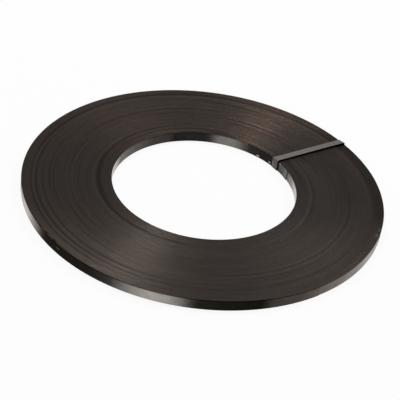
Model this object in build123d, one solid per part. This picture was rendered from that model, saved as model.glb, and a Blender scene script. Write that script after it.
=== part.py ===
from build123d import *
import math
import os

# A coil of painted steel strapping. One flat strap is ribbon wound, each turn on top of the last,
# and a narrower binder strap is folded round the coil's section to keep it from unwinding.
# Millimetres. The coil lies flat: +Z is its axis, Z = 0 is the floor under the binder, and the origin
# is on the axis. Azimuths are in degrees, counterclockwise from +X, seen from above.

# The strap, and how it is wound
strap_width = 16.0
strap_thickness = 0.5
paint_and_wax = 0.018           # what keeps one turn off the next
turn_count = 251
bore_diameter = 275.0
inner_end_azimuth = 27.0        # the strap's inner end, seen as a step in the bore
outer_end_azimuth = 310.0       # the strap's outer end, seen as a step in the rim

# The turns have slipped along the axis in bands. From the bore outwards: how many turns a band has,
# and how far it stands above the lowest one. Bands of a few turns are the rings that show as grooves.
slipped_bands = [
    (20, 0.30),
    (12, 0.38),
    (3, 0.00),
    (29, 0.30),
    (2, 0.14),
    (25, 0.40),
    (26, 0.32),
    (2, 0.14),
    (19, 0.46),
    (20, 0.38),
    (35, 0.50),
    (2, 0.24),
    (19, 0.40),
    (4, 0.00),
]
rim_band_rise = 0.34            # the last band takes all the turns that are left

# The binder strap. It was closed by hand, so it is loose, and stands up off the top.
binder_width = 12.7
binder_thickness = 0.4
binder_bore_azimuth = 41.0      # it lies a little askew, so it meets the bore and the rim
binder_rim_azimuth = 39.2       # at two azimuths
binder_clearance = 0.1          # between the binder and the walls, and under the lowest turns
binder_slack = 2.6              # above the highest turns
loose_bend_radius = 2.0         # inside its folds above the coil
tight_bend_radius = 0.3         # inside its folds under the coil
fold_run = 3.0                  # from a wall to where the flat run across the coil's end begins
lap_end_gap = 3.5               # how far each lapped end stops short of the fold that it runs to

pitch = strap_thickness + paint_and_wax
bore_radius = bore_diameter / 2
outer_radius = bore_radius + turn_count * pitch
underside = binder_thickness + binder_clearance
highest_rise = max([rise for turns, rise in slipped_bands] + [rim_band_rise])
binder_bottom_inside = binder_thickness
binder_top_inside = underside + highest_rise + strap_width + binder_slack


def wound_bands():
    """Each band of turns as its inner radius, outer radius and rise, from the bore to the rim."""
    bands = []
    radius = bore_radius
    for turns, rise in slipped_bands:
        edge = radius + turns * pitch
        if edge > outer_radius - pitch:
            break
        bands.append((radius, edge, rise))
        radius = edge
    bands.append((radius, outer_radius, rim_band_rise))
    return bands


def spiral_disc(first_radius, end_azimuth):
    """A disc with one turn of the strap as its rim: two half circles, the second half a pitch wider."""
    outward = Vector(1, 0).rotate(Axis.Z, end_azimuth)
    second_centre = outward * (pitch / 2)
    with BuildSketch() as disc:
        with BuildLine():
            CenterArc((0, 0), first_radius, end_azimuth, 180)
            CenterArc(second_centre, first_radius + pitch / 2, end_azimuth + 180, 180)
            Line(outward * (first_radius + pitch), outward * first_radius)
        make_face()
    return disc.sketch


def spiral_radius(first_radius, end_azimuth, azimuth):
    """How far from the axis the rim of that disc is at an azimuth."""
    turned = (azimuth - end_azimuth) % 360
    if turned <= 180:
        return first_radius
    along = pitch / 2 * math.cos(math.radians(turned))
    across = pitch / 2 * math.sin(math.radians(turned))
    return along + math.sqrt((first_radius + pitch / 2) ** 2 - across**2)


def turned_core(bands):
    """The bands between the first and the last, turned from half their section, a step for each."""
    tops = []
    undersides = []
    for inner, outer, rise in bands:
        low = underside + rise
        undersides += [(inner, low), (outer, low)]
        tops += [(inner, low + strap_width), (outer, low + strap_width)]
    with BuildSketch(Plane.XZ) as section:
        with BuildLine():
            Polyline(*undersides, *reversed(tops), close=True)
        make_face()
    return revolve(section.sketch, axis=Axis.Z)


def strap_coil():
    bands = wound_bands()
    first_edge, first_rise = bands[0][1:]
    last_edge, _, last_rise = bands[-1]
    bore_band = Circle(first_edge) - spiral_disc(bore_radius, inner_end_azimuth)
    rim_band = spiral_disc(outer_radius - pitch, outer_end_azimuth) - Circle(last_edge)
    coil = turned_core(bands[1:-1])
    coil += Pos(0, 0, underside + first_rise) * extrude(bore_band, strap_width)
    coil += Pos(0, 0, underside + last_rise) * extrude(rim_band, strap_width)
    return coil


def folded_strip(*bends):
    """The binder along one bend after another, upright: each is a corner between two runs, and a radius."""
    with BuildSketch(Plane.XZ) as profile:
        with BuildLine() as middle:
            for corner, inside_radius in bends:
                FilletPolyline(*corner, radius=inside_radius + binder_thickness / 2)
        trace(middle.wires()[0], binder_thickness)
    return extrude(profile.sketch, binder_width / 2, both=True)


def flat_run(bore_line, rim_line, height):
    """The binder's straight run across an end of the coil, from the fold at the bore to the rim's."""
    corners = []
    for azimuth, distance, sides in ((binder_bore_azimuth, bore_line, (-1, 1)),
                                     (binder_rim_azimuth, rim_line, (1, -1))):
        for side in sides:
            corner = Vector(distance, side * binder_width / 2)
            corners.append(corner.rotate(Axis.Z, azimuth))
    return Pos(0, 0, height) * extrude(make_face(Polyline(*corners, close=True)), binder_thickness)


def binder_strap():
    half = binder_thickness / 2
    bore_wall = spiral_radius(bore_radius, inner_end_azimuth, binder_bore_azimuth)
    rim_wall = spiral_radius(outer_radius - pitch, outer_end_azimuth, binder_rim_azimuth)
    # flat across its width, it is nearest to the hollow bore wall at its edges, to the rim at its middle
    bore_side = math.sqrt(bore_wall**2 - (binder_width / 2) ** 2) - binder_clearance
    rim_side = rim_wall + binder_clearance
    bore_line = bore_side + fold_run
    rim_line = rim_side - fold_run
    low = binder_bottom_inside - half
    high = binder_top_inside + half
    middle = underside + strap_width / 2

    leg = bore_side - half
    bore_leg = folded_strip(
        ([(bore_line, low), (leg, low), (leg, middle)], tight_bend_radius),
        ([(leg, middle), (leg, high), (bore_line, high)], loose_bend_radius),
    )
    # on the rim the two ends are lapped and spot welded, the one from above over the one from below
    inner = rim_side + half
    lower_end = folded_strip(
        ([(rim_line, low), (inner, low), (inner, underside + strap_width - lap_end_gap)], tight_bend_radius)
    )
    outer = inner + binder_thickness
    upper_end = folded_strip(
        ([(rim_line, high), (outer, high), (outer, binder_bottom_inside + lap_end_gap)], loose_bend_radius)
    )
    binder = Rot(0, 0, binder_bore_azimuth) * bore_leg
    binder += flat_run(bore_line, rim_line, 0)
    binder += flat_run(bore_line, rim_line, binder_top_inside)
    binder += Rot(0, 0, binder_rim_azimuth) * lower_end
    binder += Rot(0, 0, binder_rim_azimuth) * upper_end
    return binder


os.makedirs("parts", exist_ok=True)
for name, piece in (("strap_coil", strap_coil()), ("binder_strap", binder_strap())):
    export_step(piece, f"parts/{name}.step")
    print(name, "solids", len(piece.solids()), "volume", round(piece.volume), "mm3")
print("outer diameter", round(2 * outer_radius, 2), "mm")
print("strap length", round(math.pi * (bore_radius + outer_radius) * turn_count / 1000, 1), "m")
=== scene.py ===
# %% [markdown]
# # A ribbon-wound coil of steel strapping
#
# The real object is one flat steel strap, 16 mm wide and half a millimetre thick, wound on itself about
# 250 times into a flat ring, and held by one narrower strap folded round the ring's section. The packed
# CAD model gives the frame: where the ring lies, how high it is and where the binder goes. This lesson
# dresses it. It starts with the frame, because every later size is read from it.

# %% Load the frame
import math

import bpy
import numpy as np
from mathutils import Matrix, Vector


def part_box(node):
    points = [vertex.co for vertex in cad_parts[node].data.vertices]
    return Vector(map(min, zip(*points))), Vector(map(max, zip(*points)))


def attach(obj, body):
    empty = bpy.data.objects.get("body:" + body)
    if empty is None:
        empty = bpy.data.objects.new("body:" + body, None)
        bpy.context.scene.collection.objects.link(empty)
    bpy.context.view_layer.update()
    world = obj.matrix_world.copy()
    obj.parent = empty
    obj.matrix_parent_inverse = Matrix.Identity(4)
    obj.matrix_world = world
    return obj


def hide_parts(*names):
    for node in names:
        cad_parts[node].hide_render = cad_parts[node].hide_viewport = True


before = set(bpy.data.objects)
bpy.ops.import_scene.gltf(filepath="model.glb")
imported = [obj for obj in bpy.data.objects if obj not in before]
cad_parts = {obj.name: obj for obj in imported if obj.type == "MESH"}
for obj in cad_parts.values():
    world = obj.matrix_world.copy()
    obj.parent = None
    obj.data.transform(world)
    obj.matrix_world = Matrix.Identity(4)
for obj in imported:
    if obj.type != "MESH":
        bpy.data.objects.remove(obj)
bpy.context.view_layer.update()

coil_low, coil_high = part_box("strap_coil")
binder_low, binder_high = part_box("binder_strap")
MM = 0.001

# %% [markdown]
# ## The camera
#
# The photograph looks down on the coil at about 35 degrees, from far enough away that its near and far
# sides are almost equally wide, and it is turned a few degrees about the line of sight, so the ring's
# long axis tilts. A camera could be aimed by a Track To constraint, but a constraint can't hold that
# roll. A matrix can: its columns are the camera's right, its up and the direction behind it. A long lens
# at a long distance gives the small perspective, so no shift is needed.

# %% Place the camera
rim_radius = 267.15 * MM
camera_elevation = math.radians(35.01)
camera_roll = math.radians(8.13)
camera_distance = 6.500 * rim_radius
camera_lens = 105.60
# how far the camera is aimed off the coil's axis, and off the underside of its rim
aim_right = -0.0109 * rim_radius
aim_up = -0.0491 * rim_radius
rim_rise = 0.34 * MM
rim_underside = coil_low[2] + rim_rise

forward = Vector((0, math.cos(camera_elevation), -math.sin(camera_elevation)))
level_right = Vector((1, 0, 0))
level_up = level_right.cross(forward)
camera_place = Vector((0, 0, rim_underside)) - forward * camera_distance
camera_place += level_right * aim_right + level_up * aim_up
right = level_right * math.cos(camera_roll) + level_up * math.sin(camera_roll)
up = level_up * math.cos(camera_roll) - level_right * math.sin(camera_roll)

camera_data = bpy.data.cameras.new("camera")
camera_data.lens = camera_lens
camera_data.sensor_width = 36.0
camera_data.clip_end = 50.0
camera = bpy.data.objects.new("camera", camera_data)
camera.matrix_world = Matrix.Translation(camera_place) @ Matrix((right, up, -forward)).transposed().to_4x4()
bpy.context.collection.objects.link(camera)
bpy.context.scene.camera = camera
bpy.context.scene.view_settings.view_transform = "Standard"
print("camera stands", round(camera_place.length, 3), "m from the coil")

# %% [markdown]
# ## Node trees without clutter
#
# Every surface here gets its colour and gloss from nodes. Nodes could be linked one by one with
# tree.links.new, which takes three lines for each. The first helper below makes a node, sets its options
# and fills its inputs in one call. An input may be a number, a colour or another node's output, and only
# an output makes a link, so a value that is the same all over stays on the socket itself. Three more
# stand on it: one for sums, one for mixing two colours, and one for a colour that changes round a circle.
# The last only writes out a plain grey.

# %% Helpers for nodes
def add_node(tree, kind, inputs=None, **options):
    """A node with its options set; inputs are values, or the outputs of other nodes, which it links."""
    made = tree.nodes.new("ShaderNode" + kind)
    for name, value in options.items():
        setattr(made, name, value)
    for name, value in (inputs or {}).items():
        socket = made.inputs[name]
        if isinstance(value, bpy.types.NodeSocket):
            tree.links.new(value, socket)
        else:
            socket.default_value = value
    return made


def math_node(tree, operation, first, second=0.0):
    return add_node(tree, "Math", {0: first, 1: second}, operation=operation).outputs[0]


def mixed(tree, share, first, second, blend="MIX"):
    """A colour on the way from the first to the second, or their product with MULTIPLY and a share of 1."""
    inputs = {0: share, 6: first, 7: second}
    return add_node(tree, "Mix", inputs, data_type="RGBA", blend_type=blend).outputs[2]


def round_colour(tree, share, stops):
    """A colour that changes round the circle: each stop is its degrees and its colour."""
    made = add_node(tree, "ValToRGB", {0: share})
    elements = made.color_ramp.elements
    for degrees, colour in stops[1:-1]:
        elements.new(degrees / 360)
    for element, (degrees, colour) in zip(elements, stops):
        element.position = degrees / 360
        element.color = colour
    return made.outputs[0]


def grey(level):
    return (level, level, level, 1.0)


# %% [markdown]
# ## The studio
#
# The coil's walls are glossy, so what they mirror matters as much as what lights them. In the photograph
# they show two pale stretches behind the coil, a bright card in front and to the left with a dark gap on
# either side of it, and a dim room at the right. The walls stand upright and the camera looks down, so
# those reflections leave them downwards, under the horizon. Real cards could be stood round the coil, but
# they would have to stand within a centimetre of it. So the world itself carries them: rays that ask for
# a reflection see pale and dark stretches by compass direction, the camera sees plain white, and
# everything else sees an even soft light. The floor is left out of reflections, and keeps the coil's
# shadow.

# %% The world: white for the camera, soft light for the coil, cards for the reflections
backdrop_white = 1.0
soft_light = 0.5
mirrored_overhead = 0.58
card_top = (-0.1, 0.25)          # how steeply up a ray goes where the cards fade into what is overhead
# what a mirror ray meets, by compass direction in degrees: how light it is, and the share of green in it,
# because the walls' film tints what they mirror. +X is 0: dim room, two pale stretches from 72 to 150,
# dark gap, the card from 227 to 264, dark gap and dim room again.
mirrored_round = [
    (0, 0.36, 0.89), (30, 0.58, 0.92), (42, 0.62, 0.96), (50, 0.54, 0.96), (56, 0.41, 0.96),
    (64, 0.43, 0.97), (72, 0.74, 0.98), (80, 0.96, 0.985), (100, 0.92, 0.98), (108, 0.84, 0.96),
    (115, 0.52, 0.95), (121, 0.56, 0.95), (127, 0.84, 0.955), (132, 0.97, 0.96), (140, 0.82, 0.95),
    (147, 0.58, 0.93), (152, 0.36, 0.92), (156, 0.12, 0.92), (160, 0.03, 0.96), (205, 0.04, 0.97),
    (219, 0.10, 0.98), (227, 0.40, 0.985), (236, 0.78, 0.985), (244, 1.0, 0.985), (256, 0.96, 0.985),
    (264, 0.62, 0.985), (270, 0.18, 0.985), (276, 0.04, 0.985), (318, 0.02, 0.98), (325, 0.16, 0.87),
    (345, 0.19, 0.86), (360, 0.36, 0.89),
]
green_loss = 0.001               # the film takes this much out of every level, dark ones too
blue_loss = 0.004
blue_share_loss = 0.03           # how much smaller the share of blue is than that of green

world = bpy.data.worlds.new("studio")
bpy.context.scene.world = world
world.use_nodes = True
sky = world.node_tree
sky.nodes.clear()
ray = add_node(sky, "LightPath")
direction = add_node(sky, "SeparateXYZ", {0: add_node(sky, "TexCoord").outputs["Generated"]})
compass = math_node(sky, "ARCTAN2", direction.outputs["Y"], direction.outputs["X"])
round_share = math_node(sky, "FRACT", math_node(sky, "DIVIDE", compass, 2 * math.pi))
card_stops = []
for degrees, level, green_share in mirrored_round:
    green = green_share * level - green_loss
    blue = (green_share - blue_share_loss) * level - blue_loss
    card_stops.append((degrees, (level, green, blue, 1.0)))
cards = round_colour(sky, round_share, card_stops)
lifted = add_node(sky, "MapRange", {"Value": direction.outputs["Z"], "From Min": card_top[0],
                                    "From Max": card_top[1]}).outputs[0]
mirrored = mixed(sky, lifted, cards, grey(mirrored_overhead))
seen_or_soft = mixed(sky, ray.outputs["Is Camera Ray"], grey(soft_light), grey(backdrop_white))
mirror_ray = math_node(sky, "MAXIMUM", ray.outputs["Is Glossy Ray"], ray.outputs["Is Transmission Ray"])
world_colour = mixed(sky, mirror_ray, seen_or_soft, mirrored)
background = add_node(sky, "Background", {"Color": world_colour, "Strength": 1.0})
add_node(sky, "OutputWorld", {"Surface": background.outputs[0]})
print("the world has", len(card_stops), "stops round the compass")

# %% [markdown]
# Two soft boxes hang behind the coil, one to the left and one to the right. On the wound ends each turn
# is a fine round ridge, and such rings show a light as a bright streak along one radius on both sides of
# the hole, as a record does. The left box makes the two strong streaks of the photograph, and the right
# one the two faint ones. Area lamps are used rather than spots, because their size sets how wide the
# streaks and how soft the shadows are.

# %% Hang the two soft boxes
def soft_box(name, compass_degrees, elevation_degrees, distance, size, watts, colour):
    """An area lamp that faces the coil from a compass direction and an elevation."""
    turn = math.radians(compass_degrees)
    lift = math.radians(elevation_degrees)
    outwards = Vector((math.cos(turn) * math.cos(lift), math.sin(turn) * math.cos(lift), math.sin(lift)))
    lamp_data = bpy.data.lights.new(name, "AREA")
    lamp_data.shape = "DISK"
    lamp_data.size = size
    lamp_data.energy = watts
    lamp_data.color = colour
    lamp = bpy.data.objects.new(name, lamp_data)
    lamp.location = outwards * distance
    lamp.rotation_euler = outwards.to_track_quat("Z", "Y").to_euler()
    bpy.context.collection.objects.link(lamp)
    print(name, "is", size, "m wide and", distance, "m away")


lamp_colour = (1.0, 0.98, 0.95)
soft_box("left_box", 138, 70, 3.8, 0.75, 37.0, lamp_colour)
soft_box("right_box", 31, 50, 4.0, 2.7, 44.0, lamp_colour)

# %% [markdown]
# The floor is a plain pale disc just under the binder strap. It could be lit until it is white, but then
# the coil would be lit too much as well. So nearly all that the camera sees of it is plain white that
# lights nothing, picked by the kind of ray that asks, and the rest is the disc with the coil's soft
# shadow on it.

# %% Lay the floor
floor_colour = (0.93, 0.93, 0.93, 1.0)
floor_white = 0.90               # how much of what the camera sees of the floor is plain white
floor_radius = 6.0
floor_drop = 0.05 * MM

bpy.ops.mesh.primitive_circle_add(vertices=96, radius=floor_radius, fill_type="NGON",
                                  location=(0, 0, -floor_drop))
floor = bpy.context.object
floor.name = "floor"
floor_paint = bpy.data.materials.new("floor_paint")
floor_paint.use_nodes = True
floor_tree = floor_paint.node_tree
floor_shader = floor_tree.nodes["Principled BSDF"]
floor_shader.inputs["Base Color"].default_value = floor_colour
floor_shader.inputs["Roughness"].default_value = 0.9
floor_shader.inputs["Specular IOR Level"].default_value = 0.0
ray = add_node(floor_tree, "LightPath")
seen = math_node(floor_tree, "MAXIMUM", ray.outputs["Is Camera Ray"], ray.outputs["Is Glossy Ray"])
seen = math_node(floor_tree, "MAXIMUM", seen, ray.outputs["Is Transmission Ray"])
white = add_node(floor_tree, "Emission", {"Color": grey(1.0), "Strength": 1.0})
floor_mix = add_node(floor_tree, "MixShader", {0: math_node(floor_tree, "MULTIPLY", seen, floor_white),
                                               1: floor_shader.outputs[0], 2: white.outputs[0]})
floor_out = floor_tree.nodes["Material Output"]
floor_tree.links.new(floor_mix.outputs[0], floor_out.inputs["Surface"])
floor.data.materials.append(floor_paint)
floor.visible_glossy = False
print("the floor is a disc", 2 * floor_radius, "m wide")

# %% [markdown]
# ## How the strap is wound
#
# The coil is one strap from its inner end to its outer end, so the mesh is one long helix of rows, not
# 250 separate rings. Rings from a lathe or an array would be quicker to write, but they would meet in
# seams and have no ends. Here each row is one short step along the strap. Row k lies beside row k + one
# turn, and the two share the points of the groove between them.

# %% The winding's sizes, and the azimuth and radius of every row
bore_radius = 137.5 * MM
outer_radius = 267.25 * MM       # a hair inside the CAD model's box
strap_width = 16.0 * MM
inner_end_azimuth = math.radians(27.0)
turn_rows = 192                  # rows in one turn of the strap
whole_turns = 249
last_rows = 151                  # rows past the last whole turn, up to the strap's outer end
settled_build = 60 * MM          # how much of the build, from the bore, is out of round
# how far the innermost turn has settled in, in millimetres: all round, more to one side, and to an oval
settled_all_round = 0.75
settled_aside = 0.5
settled_aside_azimuth = math.radians(269)
settled_oval = 0.6
settled_oval_phase = math.radians(35)

strap_rows = whole_turns * turn_rows + last_rows
groove_rows = strap_rows + turn_rows
pitch = (outer_radius - bore_radius) / (groove_rows / turn_rows)
row_azimuth = inner_end_azimuth + 2 * math.pi * np.arange(groove_rows + 1) / turn_rows
row_radius = bore_radius + pitch * np.arange(groove_rows + 1) / turn_rows
settled_in = settled_all_round + settled_aside * np.cos(row_azimuth - settled_aside_azimuth)
settled_in += settled_oval * np.cos(2 * row_azimuth + settled_oval_phase)
settled_share = np.clip(1 - (row_radius - bore_radius) / settled_build, 0, 1) ** 2
row_radius -= settled_in * settled_share * MM
outer_end_azimuth = math.degrees(row_azimuth[strap_rows]) % 360
strap_length = float(np.sum(row_radius[:strap_rows]) * 2 * math.pi / turn_rows)
print("strap", round(strap_length, 1), "m long, outer end at", round(outer_end_azimuth, 1), "degrees")

# %% [markdown]
# The turns of a real coil never end up level. Whole bands of turns slip a few tenths of a millimetre, and
# single turns creep out of line for part of their way round. A noise texture could only shade the
# surface. So the slip is worked out as a height along the strap.

# %% The bands, and how far each row has slipped along the axis
# turns in each band, counted from the bore, and how far the band stands up, in millimetres
slipped_bands = [
    (5, 0.30), (11, 0.34), (2, 0.28), (11, 0.38), (12, 0.30), (20, 0.34), (15, 0.36), (13, 0.40),
    (26, 0.33), (21, 0.44), (20, 0.38), (35, 0.46), (2, 0.38), (19, 0.40), (4, 0.36), (34, 0.34),
]
easing_rows = 40                 # a band's edge is spread over this many rows
creep = 0.015                    # how far a single turn strays, in millimetres
creep_knots = 3                  # how often it changes its mind in one turn
highest_slip = 0.5               # no turn stands up further than this, in millimetres

rng = np.random.default_rng(16)
rows = np.arange(strap_rows + 1)


def band_slip():
    """The bands' height at each row, in millimetres, eased across the bands' edges."""
    knots = [0.0]
    heights = [slipped_bands[0][1]]
    edge = 0.0
    for (turns, height), (_, following) in zip(slipped_bands, slipped_bands[1:]):
        edge += turns * turn_rows
        knots += [edge - easing_rows / 2, edge + easing_rows / 2]
        heights += [height, following]
    return np.interp(rows, knots, heights)


def creeping():
    """Random height that wanders slowly along the strap, in millimetres."""
    knot_count = int(rows[-1] / turn_rows * creep_knots) + 2
    knots = np.arange(knot_count) * turn_rows / creep_knots
    return np.interp(rows, knots, rng.normal(0.0, creep, knot_count))


level_slip = band_slip() + creeping()
print("bands of turns:", len(slipped_bands))

# %% [markdown]
# On top of that, a few turns together sink or stand out over a part of the circle. Those arcs are the
# dark and light rings that the eye picks out. They could be painted on, but then they wouldn't catch the
# light. So they are part of the height, and the same arcs give the paint its shade later on. Their height
# is too small to shade them enough, so the paint carries painted shade, along with wax and dirt, in the
# sunk ones, and painted highlight on those that stand out.

# %% The arcs that have sunk or stand out
# share of the rim's radius where the arc begins and ends, turns across, azimuths where it begins and
# ends, and its depth: 1 is deep and dark, and below 0 it stands out and is lighter
sunk_arcs = [
    (0.943, 0.943, 8, 40, 172, 1.10), (0.945, 0.952, 5, 168, 248, 0.60), (0.919, 0.922, 5, 168, 236, 1.10),
    (0.922, 0.918, 5, 264, 300, 0.30), (0.884, 0.890, 5, 188, 262, 0.65), (0.848, 0.848, 4, 170, 200, 0.80),
    (0.823, 0.826, 4, 172, 206, 0.75), (0.825, 0.827, 4, 216, 245, 0.35), (0.873, 0.874, 7, 62, 92, 0.80),
    (0.777, 0.775, 7, 84, 156, 0.60), (0.716, 0.715, 7, 56, 81, 0.95), (0.674, 0.675, 7, 20, 80, 0.70),
    (0.740, 0.741, 4, 156, 234, 0.60), (0.714, 0.714, 4, 158, 182, 0.40), (0.688, 0.698, 4, 172, 232, 0.50),
    (0.768, 0.772, 4, 165, 200, 0.40), (0.780, 0.784, 5, 202, 226, 0.45), (0.645, 0.645, 4, 178, 200, 0.35),
    (0.590, 0.584, 7, 114, 174, 0.75), (0.573, 0.573, 5, 176, 208, 0.80), (0.587, 0.586, 9, 168, 214, 1.30),
    (0.588, 0.577, 6, 208, 262, 1.20), (0.590, 0.592, 6, 60, 88, 0.60), (0.600, 0.609, 5, -20, 42, 0.60),
    (0.558, 0.556, 6, 12, 156, 0.60), (0.531, 0.531, 8, 72, 88, 1.60), (0.903, 0.905, 5, 284, 335, 0.40),
    (0.872, 0.872, 5, 282, 320, 0.25), (0.804, 0.806, 6, 278, 360, 0.45), (0.607, 0.604, 5, 298, 345, 0.15),
    (0.838, 0.840, 5, 285, 320, 0.25), (0.740, 0.744, 4, 5, 28, 0.30), (0.806, 0.806, 5, 0, 20, 0.40),
    (0.980, 0.980, 34, -6, 42, 2.00), (0.950, 0.950, 16, 0, 36, 0.60), (0.978, 0.978, 14, 322, 344, -0.30),
    (0.978, 0.978, 16, 206, 242, -0.50), (0.922, 0.923, 5, 236, 264, 0.75),
    (0.889, 0.889, 5, 230, 250, 0.10), (0.579, 0.577, 6, 230, 262, 0.50), (0.827, 0.827, 5, 230, 250, 0.30),
    (0.950, 0.951, 5, 228, 246, 0.10),
    (0.918, 0.918, 8, 40, 150, -0.45), (0.931, 0.935, 5, 165, 250, -0.40), (0.897, 0.897, 7, 62, 80, -0.90),
    (0.902, 0.905, 5, 190, 265, -0.30), (0.804, 0.800, 8, 84, 120, -0.35), (0.733, 0.733, 6, 58, 80, -0.60),
    (0.697, 0.697, 6, 58, 80, -0.70), (0.728, 0.730, 4, 158, 232, -0.40), (0.606, 0.610, 7, 150, 248, -0.50),
    (0.590, 0.596, 7, -30, 40, -0.60), (0.541, 0.541, 7, 42, 64, -1.30), (0.540, 0.540, 6, 92, 130, -0.90),
    (0.820, 0.822, 5, 280, 355, -0.40), (0.790, 0.790, 5, 280, 360, -0.35),
    (0.592, 0.590, 6, 300, 350, -0.50), (0.876, 0.878, 4, 280, 310, -0.30),
    (0.706, 0.706, 5, 118, 138, -0.30), (0.572, 0.572, 5, 50, 120, -0.35), (0.918, 0.918, 12, 0, 40, -0.30),
    # broad arcs, 70 to 100 turns across, are painted light and shade; the one from 63 to 74 degrees is a
    # painted highlight
    (0.820, 0.820, 80, 63, 74, -0.90), (0.640, 0.640, 70, 264, 276, -0.20),
    (0.968, 0.968, 14, 94, 106, 0.50), (0.640, 0.640, 70, -4, 34, -0.30), (0.810, 0.810, 80, -4, 34, 0.25),
    (0.965, 0.965, 30, 298, 340, 0.25), (0.920, 0.920, 100, 216, 232, -0.35),
]
arc_fade = 9.0                   # degrees over which an arc comes and goes
arc_depth = 0.18                 # how far an arc of depth 1 has sunk, in millimetres


def sunk_share():
    """How far each row belongs to the sunk arcs, mostly from -1 to 2."""
    azimuth = np.degrees(row_azimuth[:strap_rows + 1])
    share = np.zeros(strap_rows + 1)
    for share_from, share_to, turns, start, end, depth in sunk_arcs:
        travel = (azimuth - start + arc_fade) % 360 - arc_fade
        length = end - start
        centre = outer_radius * (share_from + (share_to - share_from) * np.clip(travel / length, 0, 1))
        across = (row_radius[:strap_rows + 1] - centre) / (pitch * turns / 2)
        ends = np.clip((travel + arc_fade) / (2 * arc_fade), 0, 1)
        ends = ends * np.clip((length + arc_fade - travel) / (2 * arc_fade), 0, 1)
        share += depth * np.exp(-across**2) * ends * ends * (3 - 2 * ends)
    return share


sunk = sunk_share()
slip = np.clip(level_slip - arc_depth * sunk, 0.0, highest_slip) * MM
print("slip from", round(slip.min() / MM, 2), "to", round(slip.max() / MM, 2), "mm")

# %% [markdown]
# A slit strap has a slightly rounded edge, so each turn shows as a flat crown with a small slope on both
# sides, down to the groove that it shares with its neighbour. Three points for each row and end of the
# coil are enough for that once the normals are smooth. The inner end of the strap is cut a little askew
# and springs off the turn behind it.

# %% Points of the crowns and grooves
edge_round = 0.10 * MM           # how far in from its faces the strap's edge is rounded
groove_depth = 0.11 * MM
sprung_rows = 7                  # the length of the sprung inner end
sprung_lift = 0.6 * MM
askew_cut = math.radians(0.5)

strap_top = coil_low[2] + strap_width + slip
strap_bottom = coil_low[2] + slip

crown_inner = row_radius[:strap_rows + 1] + edge_round
crown_outer = row_radius[:strap_rows + 1] + pitch - edge_round
groove_radius = row_radius.copy()

spring = sprung_lift * (1 - np.arange(sprung_rows) / sprung_rows) ** 2
crown_inner[:sprung_rows] -= spring
crown_outer[:sprung_rows] -= spring
groove_radius[:sprung_rows] -= spring


def groove_heights(heights, lowest):
    """The groove's height: below (or, on the underside, above) both turns that it lies between."""
    beside = np.concatenate([heights[:turn_rows], heights[:-turn_rows]])
    inside = np.where(np.arange(strap_rows + 1) < turn_rows, heights, beside[:strap_rows + 1])
    pick = np.minimum if lowest else np.maximum
    shared = pick(heights, inside)
    rim = heights[strap_rows + 1 - turn_rows:]
    step = -groove_depth if lowest else groove_depth
    return np.concatenate([shared, rim]) + step


sunk_at_groove = np.concatenate([sunk[:turn_rows], sunk])
groove_top = groove_heights(strap_top, lowest=True)
groove_bottom = groove_heights(strap_bottom, lowest=False)


def ring_points(azimuth, radius, height):
    return np.stack([radius * np.cos(azimuth), radius * np.sin(azimuth), height], axis=1)


top_azimuth = row_azimuth.copy()
bottom_azimuth = row_azimuth.copy()
top_azimuth[0] -= askew_cut
bottom_azimuth[0] += askew_cut
lines = {
    "groove_top": ring_points(top_azimuth, groove_radius, groove_top),
    "groove_bottom": ring_points(bottom_azimuth, groove_radius, groove_bottom),
    "inner_top": ring_points(top_azimuth[:strap_rows + 1], crown_inner, strap_top),
    "outer_top": ring_points(top_azimuth[:strap_rows + 1], crown_outer, strap_top),
    "inner_bottom": ring_points(bottom_azimuth[:strap_rows + 1], crown_inner, strap_bottom),
    "outer_bottom": ring_points(bottom_azimuth[:strap_rows + 1], crown_outer, strap_bottom),
}
print("points along the strap:", sum(len(points) for points in lines.values()))

# %% [markdown]
# ## From rows to meshes
#
# The whole helix would be one mesh of more than half a million triangles, so it is cut into five bundles
# of fifty turns. Each bundle is closed: the wound ends above and below, an upright wall inside and
# outside, and a flat cap where its stretch of the strap begins and ends. The first bundle's inner wall
# is the bore, and its cap the strap's inner end. The last one's outer wall and cap are the rim and the
# outer end. Each point keeps how far its turn has sunk, for the paint.

# %% The points and the faces of one bundle
EDGE, FACE, CUT = 0, 1, 2        # the material of the strap's edges, of its flat faces and of its cut ends


def bundle_points(first, last):
    """The points of the rows from first to last, and where each line of points starts among them."""
    points = []
    starts = {}
    count = 0
    for line in ("groove_top", "inner_top", "outer_top", "groove_bottom", "inner_bottom", "outer_bottom"):
        end = last + turn_rows if line.startswith("groove") else last
        starts[line] = count - first
        points.append(lines[line][first:end + 1])
        count += end + 1 - first
    return np.concatenate(points).astype(np.float32), starts


def bundle_faces(starts, first, last):
    """The quads between those points, the material of each, and the outlines of the two caps."""
    row = np.arange(first, last)
    beyond = row + turn_rows
    quads = []
    materials = []

    def at(line, row):
        return starts[line] + row

    def add_quads(corners, material, flip):
        quads.append(np.stack(corners[::-1] if flip else corners, axis=1))
        materials.append(np.full(len(corners[0]), material))

    for groove, inner, outer, flip in (("groove_top", "inner_top", "outer_top", False),
                                       ("groove_bottom", "inner_bottom", "outer_bottom", True)):
        for near, near_row, far, far_row in ((groove, row, inner, row), (inner, row, outer, row),
                                             (outer, row, groove, beyond)):
            add_quads([at(near, near_row), at(far, far_row), at(far, far_row + 1), at(near, near_row + 1)],
                      EDGE, flip)
    for wall_start, flip in ((first, False), (last, True)):
        wall = np.arange(wall_start, wall_start + turn_rows)
        add_quads([at("groove_top", wall), at("groove_top", wall + 1),
                   at("groove_bottom", wall + 1), at("groove_bottom", wall)], FACE, flip)

    caps = []
    for cap_row, flip in ((first, False), (last, True)):
        cap = [at("groove_bottom", cap_row), at("inner_bottom", cap_row), at("outer_bottom", cap_row),
               at("groove_bottom", cap_row + turn_rows), at("groove_top", cap_row + turn_rows),
               at("outer_top", cap_row), at("inner_top", cap_row), at("groove_top", cap_row)]
        caps.append(cap[::-1] if flip else cap)
    return np.concatenate(quads), np.concatenate(materials), caps


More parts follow.
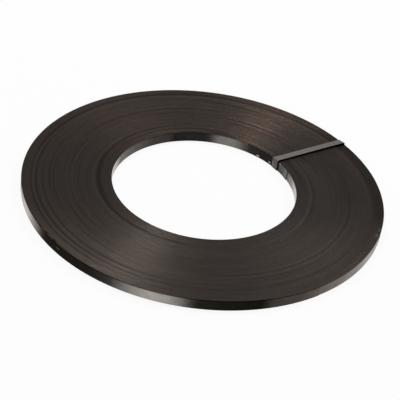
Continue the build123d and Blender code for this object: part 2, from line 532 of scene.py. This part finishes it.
# %% [markdown]
# Smooth shading rounds the crowns, but it would round the corners between the walls and the wound ends
# as well, and the coil would look like a tyre. An Edge Split modifier could stop that, at the price of
# doubled points. Marking those edges as sharp does the same and leaves the mesh closed.

# %% Mark the sharp edges of a bundle
def mark_sharp(mesh, starts, first, last, caps, point_count):
    """Marks the edges where a wall or a cap meets the rest, so that smooth shading stops there."""
    ends = np.empty(len(mesh.edges) * 2, dtype=np.int32)
    mesh.edges.foreach_get("vertices", ends)
    ends = ends.reshape(-1, 2)
    sharp = np.zeros(len(ends), dtype=bool)
    for line in ("groove_top", "groove_bottom"):
        for wall_start in (first, last):
            on_line = np.zeros(point_count, dtype=bool)
            begin = starts[line] + wall_start
            on_line[begin:begin + turn_rows + 1] = True
            sharp |= on_line[ends[:, 0]] & on_line[ends[:, 1]]
    for cap in caps:
        on_cap = np.zeros(point_count, dtype=bool)
        on_cap[cap] = True
        sharp |= on_cap[ends[:, 0]] & on_cap[ends[:, 1]]
    mesh.polygons.foreach_set("use_smooth", np.ones(len(mesh.polygons), dtype=bool))
    mesh.edges.foreach_set("use_edge_sharp", sharp)


# %% [markdown]
# A mesh of this size could be built by from_pydata, but that goes through Python lists face by face. The
# arrays are handed over whole instead: points, the corners of all faces in one row, and where each face
# starts in it.

# %% Build one bundle of turns
def bundle_mesh(name, first, last):
    """A closed mesh of the strap from one row to another, which are more than a turn apart."""
    points, starts = bundle_points(first, last)
    quads, materials, caps = bundle_faces(starts, first, last)
    corner_list = np.concatenate([quads.ravel(), np.array(caps).ravel()]).astype(np.int32)
    sizes = np.concatenate([np.full(len(quads), 4), np.full(len(caps), len(caps[0]))])
    face_starts = np.concatenate([[0], np.cumsum(sizes)[:-1]]).astype(np.int32)
    materials = np.concatenate([materials, np.full(len(caps), CUT)]).astype(np.int32)

    mesh = bpy.data.meshes.new(name)
    mesh.vertices.add(len(points))
    mesh.vertices.foreach_set("co", points.ravel())
    mesh.loops.add(len(corner_list))
    mesh.loops.foreach_set("vertex_index", corner_list)
    mesh.polygons.add(len(sizes))
    mesh.polygons.foreach_set("loop_start", face_starts)
    mesh.polygons.foreach_set("material_index", materials)
    mesh.update(calc_edges=True)
    mesh.validate()
    sunk_here = [sunk_at_groove[first:last + turn_rows + 1], sunk[first:last + 1], sunk[first:last + 1]] * 2
    mesh.attributes.new("sunk", "FLOAT", "POINT").data.foreach_set("value", np.concatenate(sunk_here))
    mark_sharp(mesh, starts, first, last, caps, len(points))
    return mesh


# %% [markdown]
# ## The finish of the strap
#
# Steel strap is slit from sheet, then painted and waxed. Its broad faces are smooth dark metal that
# mirrors what is round it, and they show only as the bore and the rim. Its slit edges make up the
# coil's two ends. They are rougher and browner, every turn a little different from the next, and each
# turn changes slowly along its length. A plain noise would make clouds. So the noise is fed with polar
# coordinates: the radius counts a lot and the azimuth little, and the blotches become long arcs.

# %% Polar coordinates for a material
def polar(tree):
    """(radius, x share, y share, z) of the shaded point: the radius in metres and the unit direction."""
    place = add_node(tree, "SeparateXYZ", {0: add_node(tree, "TexCoord").outputs["Object"]})
    x, y, z = place.outputs[0], place.outputs[1], place.outputs[2]
    squares = math_node(tree, "ADD", math_node(tree, "MULTIPLY", x, x), math_node(tree, "MULTIPLY", y, y))
    radius = math_node(tree, "SQRT", squares)
    return radius, math_node(tree, "DIVIDE", x, radius), math_node(tree, "DIVIDE", y, radius), z


def arc_noise(tree, polars, round_scale, across_scale=0.0, up_scale=0.0, detail=3.0):
    """Noise drawn out into arcs; the scales are its fineness round the coil, across its turns and up."""
    radius, x_share, y_share, z = polars
    height = math_node(tree, "MULTIPLY", z, up_scale)
    across = math_node(tree, "ADD", math_node(tree, "MULTIPLY", radius, across_scale), height)
    vector = add_node(tree, "CombineXYZ", {0: across, 1: math_node(tree, "MULTIPLY", x_share, round_scale),
                                           2: math_node(tree, "MULTIPLY", y_share, round_scale)})
    noise = add_node(tree, "TexNoise", {"Vector": vector.outputs[0], "Scale": 1.0, "Detail": detail,
                                        "Roughness": 0.6})
    return noise.outputs["Fac"]


def azimuth_of(tree, polars):
    """The azimuth of the shaded point, in degrees from -180 to 180."""
    return math_node(tree, "MULTIPLY", math_node(tree, "ARCTAN2", polars[2], polars[1]), 180 / math.pi)


def new_paint(name, **values):
    """A material and its Principled shader, with values set on the shader's own sockets."""
    material = bpy.data.materials.new(name)
    material.use_nodes = True
    shader = material.node_tree.nodes["Principled BSDF"]
    for socket, value in values.items():
        shader.inputs[socket.replace("_", " ")].default_value = value
    return material, material.node_tree, shader


def colour_between(tree, share, dark, light, low=0.3, high=0.7):
    """A colour that goes from dark to light as a share goes from low to high."""
    spread = add_node(tree, "MapRange", {"Value": share, "From Min": low, "From Max": high}).outputs[0]
    return mixed(tree, spread, (*dark, 1.0), (*light, 1.0))


def number_between(tree, share, lowest, highest, low=0.3, high=0.7):
    """A number that goes from lowest to highest as a share goes from low to high."""
    return add_node(tree, "MapRange", {"Value": share, "From Min": low, "From Max": high,
                                       "To Min": lowest, "To Max": highest}).outputs[0]


# %% [markdown]
# Here and there the strap has a small mark: a scuff, a nick or a flake of something white. Marks that are
# smaller than the mesh's faces can't be put on its points, and an image would tie the material to one
# coil's photograph. So each is a small oval at its own place, and a fine noise makes its outline ragged.

# %% A helper for small marks
spot_reach = 1.4                 # how far an oval reaches where the noise takes nothing off it
raggedness = 0.8                 # how much the noise can take off


def in_spots(tree, azimuth, across, noise, spots):
    """1 inside ragged ovals: azimuth, place across in mm, half length in degrees, half width in mm."""
    ragged = math_node(tree, "MULTIPLY", noise, raggedness)
    inside = 0.0
    for spot_azimuth, spot_place, half_length, half_width in spots:
        from_middle = math_node(tree, "SUBTRACT", azimuth, spot_azimuth)
        along = math_node(tree, "DIVIDE", from_middle, half_length)
        aside = math_node(tree, "DIVIDE", math_node(tree, "SUBTRACT", across, spot_place * MM),
                          half_width * MM)
        away = math_node(tree, "ADD", math_node(tree, "MULTIPLY", along, along),
                         math_node(tree, "MULTIPLY", aside, aside))
        here = math_node(tree, "LESS_THAN", math_node(tree, "ADD", away, ragged), spot_reach)
        inside = math_node(tree, "MAXIMUM", here, inside)
    return inside


# %% [markdown]
# The slit edges are bare brownish steel under oil. Their colour comes from three things: a fine grain
# that differs from turn to turn, broader bands, and the arcs: painted shade, with dirt, in those that have
# sunk, and painted highlight in those that stand out.

# %% The grain of the slit edges
edge_dark = (0.0301, 0.0254, 0.0225)
edge_light = (0.0840, 0.0713, 0.0630)
grain_per_metre = 1900.0         # about one blotch for each turn
bands_per_metre = 130.0
grain_share = 0.28               # how much the grain and the bands change the shade
bands_share = 0.15
even_share = 0.285               # the shade without them
# painted shade, along with dirt, where arcs have sunk, and painted highlight where they stand out
arc_painted_shade_and_dirt = 0.25            # how much an arc of depth 1 takes off the shade
edge_roughness = (0.26, 0.34)

edge_paint, tree, shader = new_paint("strap_edge_paint", Metallic=1.0,
                                     Specular_Tint=(0.90, 0.84, 0.80, 1.0))
polars = polar(tree)
turn_grain = arc_noise(tree, polars, 2.5, across_scale=grain_per_metre)
band_grain = arc_noise(tree, polars, 1.2, across_scale=bands_per_metre, detail=2.0)
grain = math_node(tree, "ADD", math_node(tree, "MULTIPLY", turn_grain, grain_share),
                  math_node(tree, "MULTIPLY", band_grain, bands_share))
sunk_here = add_node(tree, "Attribute", attribute_name="sunk").outputs["Fac"]
shade = math_node(tree, "SUBTRACT", math_node(tree, "ADD", grain, even_share),
                  math_node(tree, "MULTIPLY", sunk_here, arc_painted_shade_and_dirt))
edge_colour = colour_between(tree, shade, edge_dark, edge_light)
tree.links.new(number_between(tree, turn_grain, *edge_roughness), shader.inputs["Roughness"])
print("slit edges from", edge_dark, "to", edge_light)

# %% [markdown]
# Painted light and shade then go over the edges by azimuth, lighter and warmer in some stretches than in
# others, lightest and warmest at 67 degrees, where the left box's streak falls. It runs across all the
# turns, so its tint depends on the azimuth only. Lights alone could make such sectors, but they would
# change with the view. Last come the marks by the rim.

# %% Painted light and shade round the slit edges, and the marks
# azimuth, how light the painted light and shade leave the edges, and how warm
painted_light_round = [
    (0, 1.02, 0.00), (30, 1.09, 0.01), (46, 1.05, 0.05), (57, 1.14, 0.10), (67, 1.27, 0.22),
    (78, 1.22, 0.12), (90, 1.13, 0.07), (106, 1.14, 0.09), (120, 1.22, 0.10), (134, 1.21, 0.11),
    (150, 1.04, 0.11), (163, 0.96, 0.09), (178, 0.98, 0.01), (208, 1.10, 0.02), (222, 1.20, 0.06),
    (232, 1.22, 0.04), (242, 1.10, 0.02), (251, 0.95, 0.00), (260, 1.01, 0.02), (271, 1.21, 0.02),
    (282, 1.23, 0.00), (302, 0.92, 0.00), (322, 0.96, 0.00), (345, 1.09, 0.00),
]
painted_light_scale = 0.64                # keeps every tint below 1
painted_tint_blue_loss = 0.35            # how much blue goes where red comes
# marks by the rim: azimuth, radius in mm, half length in degrees, half width in mm
bright_scuffs = [(-15.7, 262.8, 1.1, 1.7), (-12.4, 263.8, 1.0, 1.2)]
dark_nicks = [(-139.4, 265.6, 1.0, 1.3), (-135.2, 265.8, 0.9, 1.2), (-143.5, 265.6, 0.8, 0.9)]
scuff_bright = (0.096, 0.087, 0.082, 1.0)
nick_dark = (0.012, 0.010, 0.009, 1.0)

painted_light_stops = []
for degrees, lightness, warmth in painted_light_round:
    level = painted_light_scale * lightness
    painted_light_stops.append((degrees, (level * (1 + warmth), level, level * (1 - painted_tint_blue_loss * warmth), 1.0)))
azimuth = azimuth_of(tree, polars)
painted_light = round_colour(tree, math_node(tree, "FRACT", math_node(tree, "DIVIDE", azimuth, 360.0)), painted_light_stops)
edge_colour = mixed(tree, 1.0, edge_colour, painted_light, blend="MULTIPLY")
fine_noise = arc_noise(tree, polars, 90.0, across_scale=900.0)
for spots, spot_colour in ((bright_scuffs, scuff_bright), (dark_nicks, nick_dark)):
    marked = in_spots(tree, azimuth, polars[0], fine_noise, spots)
    edge_colour = mixed(tree, marked, edge_colour, spot_colour)
tree.links.new(edge_colour, shader.inputs["Base Color"])
print("the film has", len(painted_light_stops), "stops and", len(bright_scuffs + dark_nicks), "marks")

# %% [markdown]
# The broad faces show as the bore's wall and the rim's. They are dark and glossy, with streaks that run
# along the strap from being pulled through the winder, and soft clouds where the wax is thicker. The bore
# is painted darker than the rim, as painted shade inside the hole. Towards the coil's left and right sides
# both walls are painted bright, a painted reflection of the sheen there, and the rim's very ends are
# painted dark and dull, as painted shade. How far a point lies to the side is its x share, so a few ramps
# on that place all of these.

# %% The colour of the broad faces
rim_dark, rim_light = (0.26, 0.249, 0.236), (0.39, 0.373, 0.354)
# the bore is painted darker than the rim: painted shade inside the hole
bore_dark, bore_light = (0.135, 0.128, 0.120), (0.22, 0.209, 0.196)
# painted reflections: the sheen at the walls' left and right sides
bore_sheen_colour = (0.85, 0.82, 0.79, 1.0)
rim_sheen_colour = (0.60, 0.575, 0.55, 1.0)
# painted shade at the rim's very ends, which are made dull as well
rim_end_shade_colour = (0.03, 0.027, 0.025, 1.0)
# x shares between which each of these comes or goes; below 0 is the coil's left side
bore_sheen_comes, bore_sheen_goes = (0.952, 0.980), (0.987, 0.999)
rim_sheen_left, rim_sheen_right = (-0.95, -0.90), (0.87, 0.91)
rim_shade_left, rim_shade_right = (-0.972, -0.957), (0.951, 0.970)

face_paint, tree, shader = new_paint("strap_face_paint", Metallic=1.0)
polars = polar(tree)
x_share = polars[1]
sideways = math_node(tree, "ABSOLUTE", x_share)
bore_or_rim = number_between(tree, polars[0], 0.0, 1.0, bore_radius, outer_radius)
clouds = arc_noise(tree, polars, 14.0, up_scale=90.0, detail=2.0)
streaks = arc_noise(tree, polars, 20.0, up_scale=700.0)
worn = math_node(tree, "MULTIPLY", math_node(tree, "ADD", clouds, streaks), 0.5)

# painted reflection: the bore and rim are painted brighter towards the coil's sides
bore_sheen = math_node(tree, "MULTIPLY", number_between(tree, sideways, 0.0, 1.0, *bore_sheen_comes),
                        number_between(tree, sideways, 1.0, 0.0, *bore_sheen_goes))
bore_colour = mixed(tree, bore_sheen, colour_between(tree, worn, bore_dark, bore_light), bore_sheen_colour)
rim_sheen = math_node(tree, "MAXIMUM", number_between(tree, x_share, 1.0, 0.0, *rim_sheen_left),
                       number_between(tree, x_share, 0.0, 1.0, *rim_sheen_right))
rim_colour = mixed(tree, rim_sheen, colour_between(tree, worn, rim_dark, rim_light), rim_sheen_colour)
# painted shade: the rim's very ends
rim_end_shade = math_node(tree, "MAXIMUM", number_between(tree, x_share, 1.0, 0.0, *rim_shade_left),
                  number_between(tree, x_share, 0.0, 1.0, *rim_shade_right))
rim_end_shade = math_node(tree, "MULTIPLY", rim_end_shade, bore_or_rim)
rim_colour = mixed(tree, rim_end_shade, rim_colour, rim_end_shade_colour)
face_colour = mixed(tree, bore_or_rim, bore_colour, rim_colour)
print("broad faces: rim", rim_dark, "to", rim_light, "and bore", bore_dark, "to", bore_light)

# %% [markdown]
# The marks on the walls go over that. A thin brown line along the top of both walls is painted shade,
# the dark reflection at the strap's rounded top edge, along with the burr of the slit edge. The strap's
# sprung inner end is scuffed dull, white flakes stick low on the bore, two white spots near its top edge
# are painted glints, and there is one small scuff on the rim. Dull marks aren't mirrors, so they turn the
# metal off as well.

# %% The marks on the broad faces
# azimuth, height above the floor in mm, half length in degrees, half height in mm
# the two spots at 15.4 mm, near the top edge, are painted glints; the two low ones are flakes
bore_flakes_and_glints = [(56.2, 3.8, 1.0, 1.0), (46.2, 4.4, 0.8, 0.9), (36.2, 15.4, 0.5, 0.6),
               (65.5, 15.4, 0.4, 0.35)]
rim_scuffs = [(-133.0, 10.6, 0.8, 1.4)]
rim_scuff_share = 0.25           # how much of the rim scuff's colour and dullness shows
scuffed_end = (31.9, 4.9)        # the strap's inner end: middle azimuth and half length, in degrees
scuff_dark, scuff_light = (0.05, 0.046, 0.042), (0.24, 0.23, 0.22)
flake_and_glint_white = (0.9, 0.89, 0.87, 1.0)
# painted shade along the walls' top edge, the dark reflection at the rounded edge, with the burr
burr_and_shade_brown = (0.07, 0.055, 0.045, 1.0)
wall_top = coil_low[2] + strap_width
edge_shade_fades, edge_shade_full = wall_top - 1.7 * MM, wall_top - 0.6 * MM
bore_metal, rim_metal = 0.88, 1.0

azimuth = azimuth_of(tree, polars)
fine_noise = arc_noise(tree, polars, 90.0, up_scale=900.0)
on_bore = math_node(tree, "LESS_THAN", bore_or_rim, 0.5)
flake_and_glint_spots = math_node(tree, "MULTIPLY", in_spots(tree, azimuth, polars[3], fine_noise, bore_flakes_and_glints), on_bore)
rim_scuffed = math_node(tree, "MULTIPLY", in_spots(tree, azimuth, polars[3], fine_noise, rim_scuffs),
                        math_node(tree, "MULTIPLY", bore_or_rim, rim_scuff_share))
from_end = math_node(tree, "ABSOLUTE", math_node(tree, "SUBTRACT", azimuth, scuffed_end[0]))
end_scuffed = math_node(tree, "MULTIPLY", math_node(tree, "LESS_THAN", from_end, scuffed_end[1]), on_bore)
scuffs = add_node(tree, "TexNoise", {"Vector": add_node(tree, "TexCoord").outputs["Object"], "Scale": 700.0,
                                     "Detail": 3.0}).outputs["Fac"]
scuff_colour = colour_between(tree, scuffs, scuff_dark, scuff_light, low=0.38, high=0.62)
edge_shade_and_burr = number_between(tree, polars[3], 0.0, 1.0, edge_shade_fades, edge_shade_full)
face_colour = mixed(tree, edge_shade_and_burr, face_colour, burr_and_shade_brown)
face_colour = mixed(tree, math_node(tree, "MAXIMUM", end_scuffed, rim_scuffed), face_colour, scuff_colour)
face_colour = mixed(tree, flake_and_glint_spots, face_colour, flake_and_glint_white)
tree.links.new(face_colour, shader.inputs["Base Color"])
dull = math_node(tree, "MAXIMUM", math_node(tree, "MAXIMUM", flake_and_glint_spots, end_scuffed),
                 math_node(tree, "MAXIMUM", rim_scuffed, rim_end_shade))
metallic = number_between(tree, bore_or_rim, bore_metal, rim_metal, 0.0, 1.0)
tree.links.new(math_node(tree, "MULTIPLY", metallic, math_node(tree, "SUBTRACT", 1.0, dull)),
               shader.inputs["Metallic"])
print("marks on the walls:", len(bore_flakes_and_glints + rim_scuffs) + 1)

# %% [markdown]
# The gloss is not even. Fine scratches along the strap make it a little rougher, the clouds of wax add
# to that, and the rim's very ends, painted dark as shade, lose their gloss. One roughness for the whole
# wall would look like plastic. A very low bump from the clouds makes the reflections waver, which a change
# of roughness alone can't do.

# %% The gloss of the broad faces
scratch_roughness = (0.06, 0.12)
cloud_roughness = (0.01, 0.04)   # what the clouds add to it
rim_end_roughness = 0.45
waver_strength = 0.08
waver_height = 1.0 * MM

scratches = arc_noise(tree, polars, 9.0, up_scale=2600.0, detail=4.0)
roughness = math_node(tree, "ADD", number_between(tree, scratches, *scratch_roughness),
                      number_between(tree, clouds, *cloud_roughness))
tree.links.new(math_node(tree, "ADD", roughness, math_node(tree, "MULTIPLY", rim_end_shade, rim_end_roughness)),
               shader.inputs["Roughness"])
waver = add_node(tree, "Bump", {"Height": clouds, "Strength": waver_strength, "Distance": waver_height})
tree.links.new(waver.outputs[0], shader.inputs["Normal"])
print("nodes in the paint of the broad faces:", len(tree.nodes))

# %% [markdown]
# The strap's two ends were cut with shears, so a narrow face of bare torn steel shows there. It is lighter
# than any painted face and needs no more than a noise that runs up and down the cut.

# %% Bare steel where the strap is cut
cut_steel, tree, shader = new_paint("cut_steel", Metallic=1.0, Roughness=0.35)
polars = polar(tree)
torn = arc_noise(tree, polars, 60.0, up_scale=700.0)
torn_dark, torn_light = (0.30, 0.29, 0.28), (0.55, 0.54, 0.52)
tree.links.new(colour_between(tree, torn, torn_dark, torn_light), shader.inputs["Base Color"])
print("cut steel from", torn_dark, "to", torn_light)

# %% [markdown]
# Now the helix becomes pieces. Each bundle carries the three materials in the order of the slots that its
# faces were given. All five stand in for the one coil of the CAD model, which is hidden.

# %% Make the five bundles
bundle_turns = 50
bundle_rows = bundle_turns * turn_rows
for number, first in enumerate(range(0, strap_rows - turn_rows, bundle_rows), start=1):
    last = min(first + bundle_rows, strap_rows)
    name = f"strap_turns_{number}"
    bundle = bpy.data.objects.new(name, bundle_mesh(name, first, last))
    bpy.context.collection.objects.link(bundle)
    for material in (edge_paint, face_paint, cut_steel):
        bundle.data.materials.append(material)
    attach(bundle, "root")
    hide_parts("strap_coil")
    print(name, "faces", len(bundle.data.polygons))

# %% [markdown]
# ## The binder strap
#
# The binder is a thin narrow strap folded once round the section of the ring. It starts on the rim, goes
# down and back under the ring, up the bore and over the top, and ends on the rim over its own beginning,
# where the two layers are spot welded. It was closed by hand and is loose, and it lies twisted: the edge
# towards the camera stands two or three millimetres off the coil, which makes the black line beside it,
# and the other edge almost touches. A curve with a bevel could make it, but it twists where it turns a
# corner. So both edges are followed round the section, each with its own gaps, and the strap is laid
# between them.

# %% How each edge of the binder goes round the section
binder_width = 12.7 * MM
binder_thickness = 0.4 * MM
binder_bore_azimuth = math.radians(41.0)
binder_rim_azimuth = math.radians(39.2)
# for each edge: how far it stands off the bore wall, and off the top beside the bore and beside the rim
near_edge_gaps = (1.6 * MM, 1.95 * MM, 2.55 * MM)
far_edge_gaps = (0.3 * MM, 0.12 * MM, 0.4 * MM)
rim_gap = 0.1 * MM
lap_gap = 0.01 * MM
tight_fold = 0.3 * MM
# for each edge: the radius inside its folds at the bore's foot, at the bore's top and at the rim's top
near_edge_folds = (2.0 * MM, 3.0 * MM, 3.0 * MM)
far_edge_folds = (0.6 * MM, 0.6 * MM, 1.5 * MM)
lap_end_gap = 3.5 * MM
half = binder_thickness / 2
binder_floor = binder_low[2] + binder_thickness
bore_side = math.sqrt(bore_radius**2 - (binder_width / 2) ** 2)
rim_side = outer_radius + rim_gap
over_side = rim_side + binder_thickness + lap_gap


def arc(distance, height, radius, from_degrees, to_degrees, steps=8):
    """Points round a fold, as (distance from the axis, height); 0 degrees faces outwards and 90 up."""
    angles = np.radians(np.linspace(from_degrees, to_degrees, steps + 1))
    return [(distance + radius * math.cos(a), height + radius * math.sin(a)) for a in angles]


def edge_route(side, gaps, folds):
    """One edge of the binder, middle of its thickness, in groups of points between the straight runs."""
    bore_gap, bore_lift, rim_lift = gaps
    foot_fold, bore_fold, rim_fold = folds
    leg = bore_side - bore_gap
    bore_top = coil_high[2] + bore_lift
    rim_top = coil_high[2] + rim_lift
    lower_end = [(rim_side + half, coil_low[2] + strap_width - lap_end_gap)]
    upper_end = [(over_side + half, binder_floor + lap_end_gap)]
    rim_foot = arc(rim_side - tight_fold, binder_floor + tight_fold, tight_fold + half, 0, -90)
    bore_foot = arc(leg + foot_fold, binder_floor + foot_fold, foot_fold + half, -90, -180)
    bore_head = arc(leg + bore_fold, bore_top - bore_fold, bore_fold + half, 180, 90)
    rim_head = arc(over_side - rim_fold, rim_top - rim_fold, rim_fold + half, 90, 0)
    groups = [
        (binder_rim_azimuth, lower_end), (binder_rim_azimuth, rim_foot), (binder_bore_azimuth, bore_foot),
        (binder_bore_azimuth, bore_head), (binder_rim_azimuth, rim_head), (binder_rim_azimuth, upper_end),
    ]
    placed = []
    for azimuth, points in groups:
        outwards = Vector((math.cos(azimuth), math.sin(azimuth), 0))
        along = Vector((-math.sin(azimuth), math.cos(azimuth), 0)) * side * binder_width / 2
        placed.append([outwards * distance + along + Vector((0, 0, height)) for distance, height in points])
    return placed


def with_runs(groups, steps):
    """All the points of a route, with points added on the straight runs between its groups."""
    points = list(groups[0])
    for count, group in zip(steps, groups[1:]):
        start = points[-1]
        points += [start.lerp(group[0], step / count) for step in range(1, count)] + group
    return points


run_steps = [4, 24, 6, 24, 4]    # down the rim, under the ring, up the bore, over the top, down the rim
near_edge = with_runs(edge_route(-1, near_edge_gaps, near_edge_folds), run_steps)
far_edge = with_runs(edge_route(1, far_edge_gaps, far_edge_folds), run_steps)
print("points along each edge of the binder:", len(near_edge))

# %% [markdown]
# The section that travels between the two edges is a rectangle with rounded corners, because even a
# tenth of a millimetre of rounding catches the light along both edges. Each step along the strap gets
# one ring of points, square to the way it runs, and quads join one ring to the next.

# %% Lay the binder between its edges
def binder_section():
    """The strap's section as (across, outwards) pairs, with three points at each corner."""
    corner = 0.14 * MM
    across = binder_width / 2 - corner
    out = binder_thickness / 2 - corner
    pairs = []
    for quarter, (side, face) in enumerate(((1, 1), (-1, 1), (-1, -1), (1, -1))):
        for step in range(3):
            angle = math.radians(90 * quarter + 45 * step)
            pairs.append((side * across + corner * math.cos(angle), face * out + corner * math.sin(angle)))
    return pairs


section = binder_section()
middles = [(near + far) / 2 for near, far in zip(near_edge, far_edge)]
binder_points = []
for index, middle in enumerate(middles):
    ahead = middles[min(index + 1, len(middles) - 1)] - middles[max(index - 1, 0)]
    across = (far_edge[index] - near_edge[index]).normalized()
    outwards = ahead.cross(across).normalized()
    for sideways, out in section:
        binder_points.append(middle + across * sideways + outwards * out)
size = len(section)
binder_faces = [tuple(reversed(range(size))), tuple(range(len(binder_points) - size, len(binder_points)))]
for start in range(0, len(binder_points) - size, size):
    for corner in range(size):
        following = (corner + 1) % size
        beyond = start + size
        binder_faces.append((start + following, beyond + following, beyond + corner, start + corner))
binder_mesh = bpy.data.meshes.new("binder")
binder_mesh.from_pydata(binder_points, [], binder_faces)
binder_mesh.validate()
binder_mesh.polygons.foreach_set("use_smooth", [True] * len(binder_mesh.polygons))
binder_mesh.set_sharp_from_angle(angle=math.radians(50))
binder = bpy.data.objects.new("binder", binder_mesh)
bpy.context.collection.objects.link(binder)
print("binder faces", len(binder_mesh.polygons))

# %% [markdown]
# The binder's paint is thin and dark grey, with soft scuffs that change both its colour and its gloss. It
# could have one colour, but its leg in the bore is painted paler than the run over the top, as painted
# light, and towards the rim the colour is a little darker. Height and radius tell the paint where it is.

# %% Paint the binder
run_dark, run_light = (0.119, 0.105, 0.0995), (0.20, 0.179, 0.172)
# painted light: the upright leg is painted paler than the run over the top
leg_dark, leg_light = (0.17, 0.15, 0.142), (0.285, 0.255, 0.245)
leg_lighter_below = 0.75 * strap_width
# the binder is darker towards the rim
darkening_from = 0.6 * outer_radius
rim_end_darkness = 0.80
binder_roughness = (0.55, 0.38)  # where the scuffs are dark, and where they are light

binder_paint, tree, shader = new_paint("binder_paint", Metallic=0.35, IOR=1.5)
place = add_node(tree, "TexCoord").outputs["Object"]
scuffs = add_node(tree, "TexNoise", {"Vector": place, "Scale": 260.0, "Detail": 5.0,
                                     "Roughness": 0.65}).outputs["Fac"]
height = add_node(tree, "SeparateXYZ", {0: place}).outputs[2]
# painted light on the leg below this height
leg_painted_light = number_between(tree, height, 1.0, 0.0, leg_lighter_below, strap_width)
binder_colour = mixed(tree, leg_painted_light, colour_between(tree, scuffs, run_dark, run_light),
                      colour_between(tree, scuffs, leg_dark, leg_light))
darker_to_rim = number_between(tree, polar(tree)[0], 1.0, rim_end_darkness, darkening_from, outer_radius)
binder_colour = mixed(tree, 1.0, binder_colour, darker_to_rim, blend="MULTIPLY")
tree.links.new(binder_colour, shader.inputs["Base Color"])
tree.links.new(number_between(tree, scuffs, *binder_roughness), shader.inputs["Roughness"])
binder_mesh.materials.append(binder_paint)
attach(binder, "root")
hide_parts("binder_strap")
print("binder paint from", run_dark, "to", leg_light)
